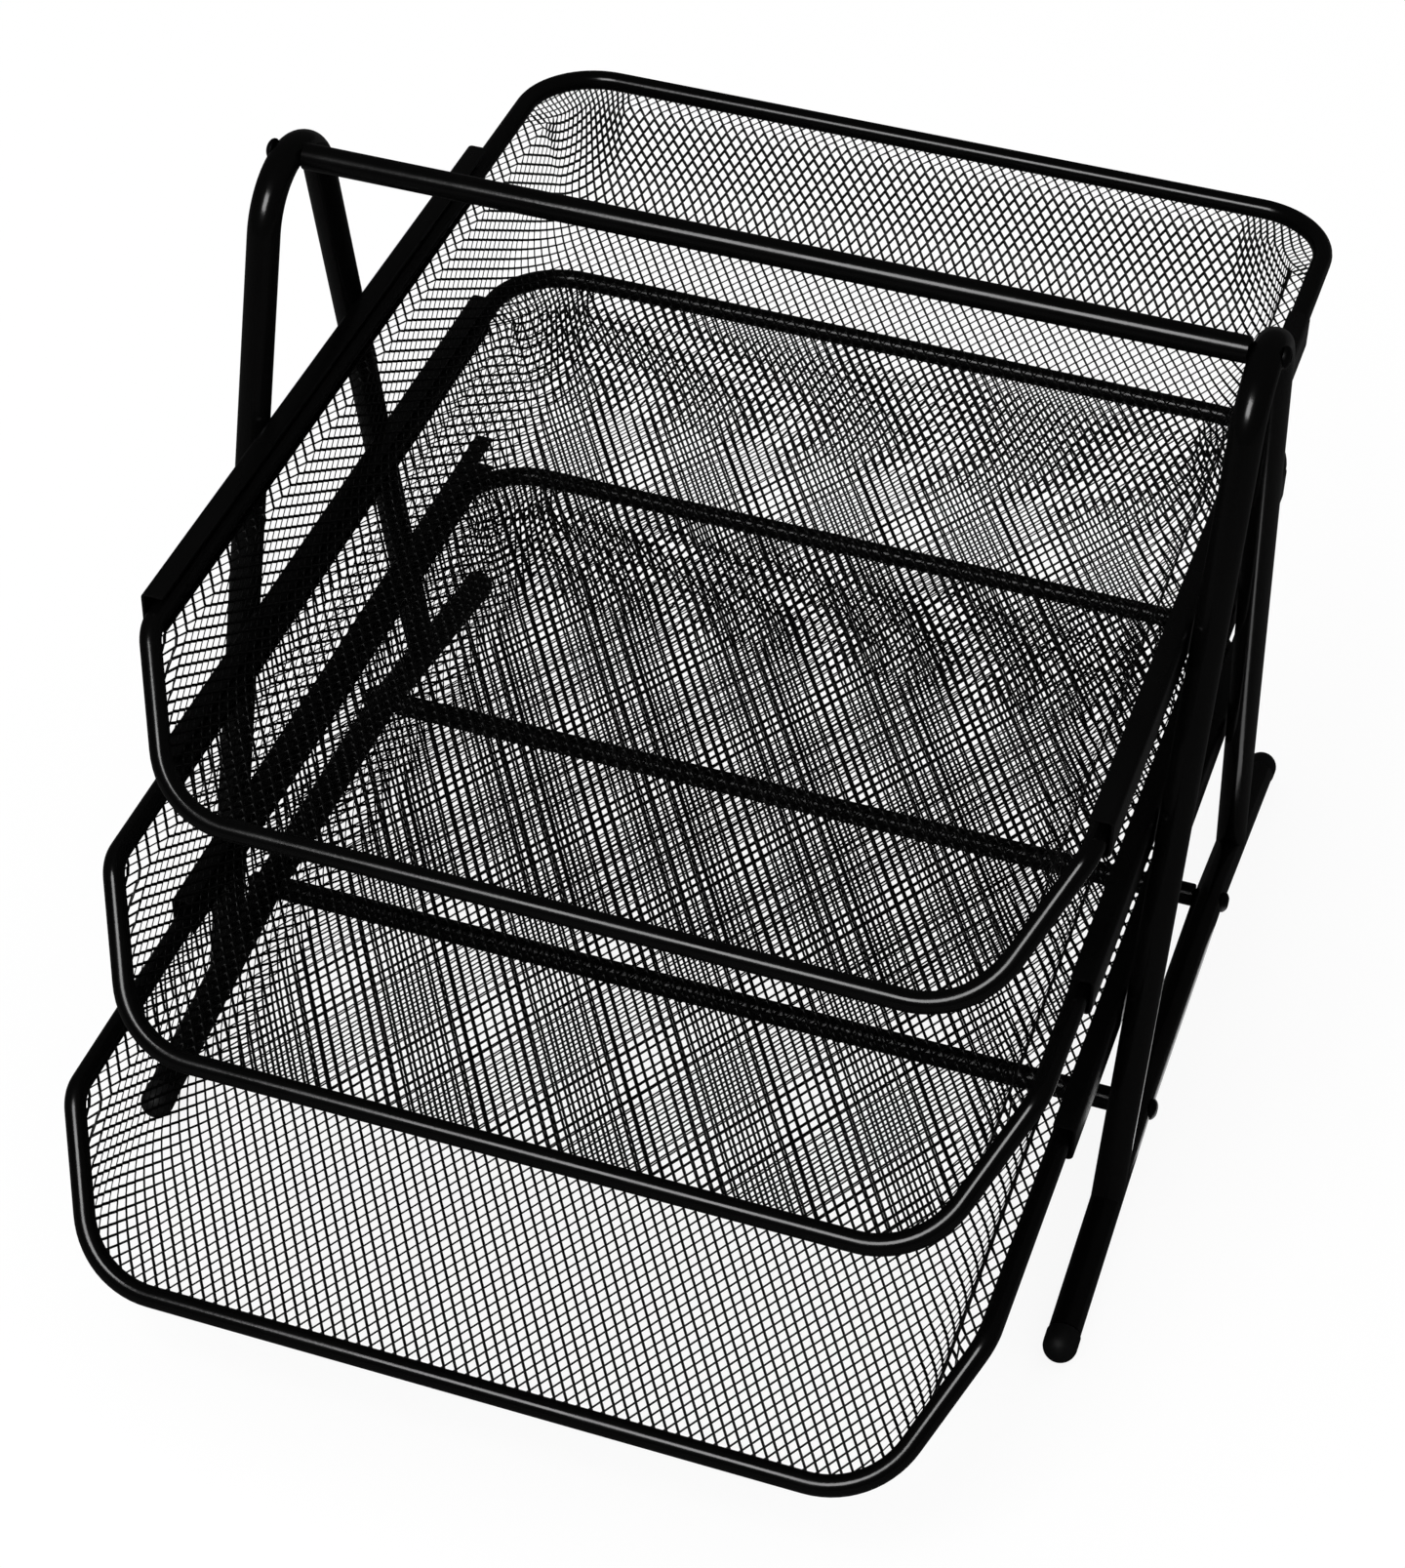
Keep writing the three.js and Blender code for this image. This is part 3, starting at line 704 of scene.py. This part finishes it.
class Press:
    """The die that forms the flat mesh blank: it says where each point of the blank ends up."""

    def __init__(self, tray):
        self.tray = tray
        self.floor = -tray.front_drop - tray.sheet_drop
        self.fold_length = tray.fold_radius * (math.pi / 2 - tray.flare)
        self.fold_top = tray.fold_radius * (1 - math.sin(tray.flare))
        self.crease_x = tray.width / 2 - tray.rim / 2 - tray.flange
        self.fold_x = self.crease_x - self.reach(self.along(tray.front_drop))
        self.corner = tray.draw_radius - (tray.width / 2 - self.fold_x)
        self.centre = Vector((tray.width / 2 - tray.draw_radius, -tray.draw_radius, 0))
        self.slope = math.atan2(tray.front_drop, tray.slope_run)

    def along(self, height):
        """Length of sheet from the fold's start up to a height over the floor."""
        radius = self.tray.fold_radius
        if height >= self.fold_top:
            return self.fold_length + (height - self.fold_top) / math.cos(self.tray.flare)
        return radius * math.acos(1 - max(height, 0) / radius)

    def reach(self, run):
        """How far out a point lies after that run of sheet."""
        radius, flare = self.tray.fold_radius, self.tray.flare
        if run >= self.fold_length:
            return radius * math.cos(flare) + (run - self.fold_length) * math.sin(flare)
        return radius * math.sin(run / radius)

    def height(self, run):
        """How far over the floor a point lies after that run of sheet."""
        radius, flare = self.tray.fold_radius, self.tray.flare
        if run >= self.fold_length:
            return self.fold_top + (run - self.fold_length) * math.cos(flare)
        return radius * (1 - math.cos(run / radius))

    def wall_height(self, y):
        """Height over the floor at which the wall turns out into the flange."""
        tray = self.tray
        down = (-tray.depth + tray.slope_run - y) * math.tan(self.slope)
        under_wire = tray.front_drop + tray.sheet_drop * (1 - 1 / math.cos(self.slope)) - down
        return min(tray.front_drop, max(under_wire, 0))

    def section(self, run, y):
        """Reach and height after that run from the fold's start, through fold, wall and flange."""
        if run <= 0:
            return run, 0
        top = self.along(self.wall_height(y))
        if run <= top:
            return self.reach(run), self.height(run)
        return self.reach(top) + run - top, self.height(top)

    def form(self, x, y):
        """The formed place of the blank's point (x, y), for x on the right."""
        out_x, out_y = x - self.centre.x, y - self.centre.y
        if out_y <= 0:
            reach, height = self.section(out_x - self.corner, y)
            return Vector((self.fold_x + reach, y, self.floor + height))
        if out_x <= 0:
            reach, height = self.section(out_y - self.corner, y)
            return Vector((x, self.centre.y + self.corner + reach, self.floor + height))
        away = math.hypot(out_x, out_y)
        reach, height = self.section(away - self.corner, 0)
        scale = (self.corner + reach) / away
        return Vector((self.centre.x + out_x * scale, self.centre.y + out_y * scale, self.floor + height))


def diamond_blank(width, rear, front, across, along):
    """A flat sheet of mesh diamonds: a grid whose faces are poked and whose first edges are dissolved."""
    columns = 2 * math.ceil(width / across)
    rows = math.ceil((rear - front) / along)
    clear_selection()
    bpy.ops.mesh.primitive_grid_add(
        x_subdivisions=columns, y_subdivisions=rows, size=1, location=(0, rear - rows * along / 2, 0)
    )
    blank = bpy.context.object
    blank.scale = (columns * across, rows * along, 1)
    settle(blank)
    bpy.ops.object.mode_set(mode="EDIT")
    bpy.ops.mesh.select_mode(type="EDGE")
    bpy.ops.mesh.select_all(action="SELECT")
    bpy.ops.mesh.poke()
    bpy.ops.mesh.select_all(action="DESELECT")
    object_mode()
    select_where(blank, "EDGE", lambda ends: min(abs(c) for c in (ends[0].co - ends[1].co).xy) < TOUCH / 10)
    bpy.ops.mesh.dissolve_edges(use_verts=False)
    object_mode()
    return blank


def slimness(ring):
    """Area of a face over the square of its outline: about 0.06 for a diamond, near 0 for a sliver."""
    places = [v.co for v in ring]
    spokes = [place - places[0] for place in places[1:]]
    area = sum((a.cross(b) for a, b in zip(spokes, spokes[1:])), Vector()).length / 2
    outline = sum((a - b).length for a, b in zip(places, places[1:] + places[:1]))
    return area / outline ** 2


def turn_strands(sheet, tray):
    """Draws in the long ends of each selected hole, and raises the far one over the near one."""
    object_mode()
    mesh = sheet.data
    for hole in mesh.polygons:
        if not hole.select or len(hole.vertices) != 4:
            continue
        middle = hole.center.copy()
        corners = sorted((mesh.vertices[i] for i in hole.vertices), key=lambda v: (v.co - middle).length)
        near, far = sorted(corners[2:], key=lambda v: v.co.y + v.co.z)
        near.co = near.co.lerp(middle, tray.knuckle) - hole.normal * (tray.strand_turn / 2)
        far.co = far.co.lerp(middle, tray.knuckle) + hole.normal * (tray.strand_turn / 2)
    bpy.ops.object.mode_set(mode="EDIT")


def open_up(sheet, tray):
    """Opens the sheet's faces and turns what is left round them into strands, ridged above and below."""
    pick(sheet)
    bpy.ops.object.mode_set(mode="EDIT")
    bpy.ops.mesh.select_mode(type="FACE")
    bpy.ops.mesh.select_all(action="SELECT")
    bpy.ops.mesh.inset(thickness=tray.strand / 2, use_individual=True)
    turn_strands(sheet, tray)
    bpy.ops.mesh.delete(type="FACE")
    bpy.ops.mesh.select_all(action="SELECT")
    bpy.ops.mesh.duplicate()
    bpy.ops.mesh.flip_normals()
    bpy.ops.mesh.select_mode(type="VERT")
    bpy.ops.mesh.select_all(action="DESELECT")
    bpy.ops.mesh.select_non_manifold()
    bpy.ops.mesh.select_all(action="INVERT")
    bpy.ops.transform.shrink_fatten(value=tray.strand_rise / 2)
    bpy.ops.mesh.select_all(action="SELECT")
    bpy.ops.mesh.remove_doubles(threshold=TOUCH)
    bpy.ops.mesh.normals_make_consistent(inside=False)
    object_mode()
    bpy.ops.object.shade_smooth()


class TrimLine:
    """The rim's middle line, under which the mesh sheet ends."""

    def __init__(self, tray, press):
        self.tray = tray
        self.press = press
        self.points = np.array(rim_line(tray))
        self.starts = self.points[:-1, :2]
        self.steps = np.diff(self.points[:, :2], axis=0)
        self.spans = (self.steps ** 2).sum(1)
        self.outward = np.stack([self.steps[:, 1], -self.steps[:, 0]], 1) / np.sqrt(self.spans)[:, None]

    def trimmed(self, formed):
        """Whether a formed point lies past the sheet's edge, and its place, drawn back to the edge if so."""
        tray = self.tray
        away = np.array(formed.xy) - self.starts
        shares = np.clip((away * self.steps).sum(1) / self.spans, 0, 1)
        past = away - self.steps * shares[:, None]
        best = int((past ** 2).sum(1).argmin())
        outward, share = self.outward[best], shares[best]
        reach = (tray.rear_reach + tray.front_reach) / 2
        reach += (tray.rear_reach - tray.front_reach) / 2 * float(outward[1])
        if float((past[best] * outward).sum()) <= reach:
            return False, formed
        place = Vector(self.points[best] + (self.points[best + 1] - self.points[best]) * share)
        on_slope = place.z < -TOUCH and place.y > -tray.depth + TOUCH
        lean = self.press.slope if on_slope else 0
        place.z = max(place.z - tray.sheet_drop / math.cos(lean), self.press.floor)
        return True, place + Vector((*outward, 0)) * reach


class ORGANIZER_OT_nets(BuildStep):
    """The formed sheet of expanded mesh in each tray"""

    bl_idname = "organizer.nets"
    bl_label = "Mesh sheets"

    def execute(self, context):
        _, _, tray = sizes()
        press = Press(tray)
        edge = TrimLine(tray, press)
        # Sheet for the fold, the wall and the flange, and a strip to trim away.
        spare = press.along(tray.front_drop) + 3 * tray.flange
        blank = diamond_blank(press.fold_x + spare, press.centre.y + press.corner + spare,
                              -tray.depth - tray.pitch_along, tray.pitch_across, tray.pitch_along)
        waste = np.zeros(len(blank.data.vertices), bool)
        for vertex in blank.data.vertices:
            side = -1 if vertex.co.x < 0 else 1
            formed = press.form(abs(vertex.co.x), vertex.co.y)
            waste[vertex.index], formed = edge.trimmed(formed)
            vertex.co = (side * formed.x, formed.y, formed.z)
        select_where(blank, "FACE", lambda ring: all(waste[v.index] for v in ring)
                     or slimness(ring) < tray.sliver)
        bpy.ops.mesh.delete(type="FACE")
        open_up(blank, tray)
        for level in LEVELS:
            net = copy_of(blank, shift=tray_origin(tray, level))
            dress(net, f"{level}_mesh_sheet", f"tray_{level}", f"tray_{level}_mesh", "mesh")
        bpy.data.objects.remove(blank)
        return {"FINISHED"}


WHITE = (1, 1, 1, 1)
CLIP_START = 0.01
# Each lamp's place and aim, its width and depth, its power, and whether it lights more than the gloss.
LAMPS = {
    "key_lamp": ((-0.2, -1.0, 1.35), (0, 0, 0.1), (0.6, 0.6), 8.6, True),
    "table_glint": ((0.165, 0.025, 0.004), (0.165, 0.025, 1), (0.02, 0.11), 0.008, False),
}


def add_table(stage, paint):
    """A matt white table top. The camera sees it nearly white with a faint shadow, and gloss sees it dark."""
    clear_selection()
    bpy.ops.mesh.primitive_plane_add(size=stage.table, location=(0, 0, -stage.table_gap))
    table = bpy.context.object
    table.name = "table_top"
    material = bpy.data.materials.new("matt_white_board")
    material.use_nodes = True
    tree = material.node_tree
    tree.nodes.clear()
    rays = node(tree, "ShaderNodeLightPath")
    board = node(tree, "ShaderNodeBsdfDiffuse", {"Color": dimmed(paint, 1)})
    shade = node(tree, "ShaderNodeBsdfDiffuse", {"Color": dimmed(paint, stage.table_mirrored)})
    shadow = node(tree, "ShaderNodeBsdfDiffuse", {"Color": dimmed(paint, stage.table_shadow)})
    glow = node(tree, "ShaderNodeEmission", {"Color": WHITE, "Strength": stage.table_glow})
    seen = node(tree, "ShaderNodeAddShader", links={0: shadow.outputs[0], 1: glow.outputs[0]})
    unseen = node(tree, "ShaderNodeMixShader",
                  links={"Fac": rays.outputs["Is Glossy Ray"], 1: board.outputs[0], 2: shade.outputs[0]})
    choose = node(tree, "ShaderNodeMixShader",
                  links={"Fac": rays.outputs["Is Camera Ray"], 1: unseen.outputs[0], 2: seen.outputs[0]})
    node(tree, "ShaderNodeOutputMaterial", links={"Surface": choose.outputs[0]})
    table.data.materials.append(material)


def add_room(scene, stage):
    """A pale room: white to the camera, a soft lamp to the pieces, and dark in their gloss."""
    world = bpy.data.worlds.new("pale_room")
    scene.world = world
    world.use_nodes = True
    tree = world.node_tree
    tree.nodes.clear()
    rays = node(tree, "ShaderNodeLightPath")
    unseen = node(tree, "ShaderNodeMapRange", {"To Min": stage.room, "To Max": stage.room_mirrored},
                  {"Value": rays.outputs["Is Glossy Ray"]})
    level = node(tree, "ShaderNodeMapRange", {"To Max": 1.0},
                 {"Value": rays.outputs["Is Camera Ray"], "To Min": unseen.outputs["Result"]})
    sky = node(tree, "ShaderNodeBackground", {"Color": WHITE}, {"Strength": level.outputs["Result"]})
    node(tree, "ShaderNodeOutputWorld", links={"Surface": sky.outputs["Background"]})


def add_lamp(name, place, aim, size, power, lights):
    """An area lamp that the camera doesn't see; without lights it shows in gloss only."""
    clear_selection()
    bpy.ops.object.light_add(type="AREA", location=place)
    lamp = bpy.context.object
    lamp.name = name
    lamp.data.shape = "RECTANGLE"
    lamp.data.size, lamp.data.size_y = size
    lamp.data.energy = power
    lamp.visible_camera = False
    lamp.visible_diffuse = lights
    lamp.rotation_euler = (Vector(aim) - Vector(place)).to_track_quat("-Z", "Y").to_euler()


def add_camera(scene, stage):
    """The photograph's camera."""
    turn, rise = stage.azimuth, stage.elevation
    view = Vector((-math.sin(turn) * math.cos(rise), math.cos(turn) * math.cos(rise), -math.sin(rise)))
    right = Vector((math.cos(turn), math.sin(turn), 0))
    axes = Matrix((right, right.cross(view), -view)).transposed()
    clear_selection()
    bpy.ops.object.camera_add(location=stage.camera)
    camera = bpy.context.object
    camera.rotation_mode = "QUATERNION"
    camera.rotation_quaternion = (axes @ Matrix.Rotation(stage.roll, 3, "Z")).to_quaternion()
    camera.data.sensor_width = stage.sensor
    camera.data.lens = stage.lens
    camera.data.clip_start = CLIP_START
    scene.camera = camera


class ORGANIZER_OT_stage(BuildStep):
    """The table top, the room, the lamps and the camera"""

    bl_idname = "organizer.stage"
    bl_label = "Stage"

    def execute(self, context):
        scene = context.scene
        stage = scene.stage_settings
        add_table(stage, scene.finishes.floor)
        add_room(scene, stage)
        for name, settings in LAMPS.items():
            add_lamp(name, *settings)
        add_camera(scene, stage)
        scene.view_settings.view_transform = "Standard"
        return {"FINISHED"}


STEPS = (
    ORGANIZER_OT_finishes, ORGANIZER_OT_side_frames, ORGANIZER_OT_feet, ORGANIZER_OT_foot_caps,
    ORGANIZER_OT_bars, ORGANIZER_OT_bolts, ORGANIZER_OT_rails, ORGANIZER_OT_rims, ORGANIZER_OT_nets,
    ORGANIZER_OT_stage,
)
GROUPS = {
    "stand_sizes": StandSizes, "rail_sizes": RailSizes, "tray_sizes": TraySizes,
    "finishes": Finishes, "stage_settings": StageSettings,
}


class ORGANIZER_PT_steps(bpy.types.Panel):
    """The sizes and the steps, in the order in which they run"""

    bl_label = "Mesh desk organizer"
    bl_space_type = "VIEW_3D"
    bl_region_type = "UI"
    bl_category = "Organizer"

    def draw(self, context):
        for key in GROUPS:
            box = self.layout.box()
            group = getattr(context.scene, key)
            for name in group.__annotations__:
                box.prop(group, name)
        for step in STEPS:
            self.layout.operator(step.bl_idname)


def register():
    for group in GROUPS.values():
        bpy.utils.register_class(group)
    for key, group in GROUPS.items():
        setattr(bpy.types.Scene, key, PointerProperty(type=group))
    for step in STEPS:
        bpy.utils.register_class(step)
    bpy.utils.register_class(ORGANIZER_PT_steps)


def unregister():
    bpy.utils.unregister_class(ORGANIZER_PT_steps)
    for step in reversed(STEPS):
        bpy.utils.unregister_class(step)
    for key in GROUPS:
        delattr(bpy.types.Scene, key)
    for group in GROUPS.values():
        bpy.utils.unregister_class(group)


def main():
    register()
    for step in STEPS:
        area, name = step.bl_idname.split(".")
        getattr(getattr(bpy.ops, area), name)()


if __name__ == "__main__":
    main()
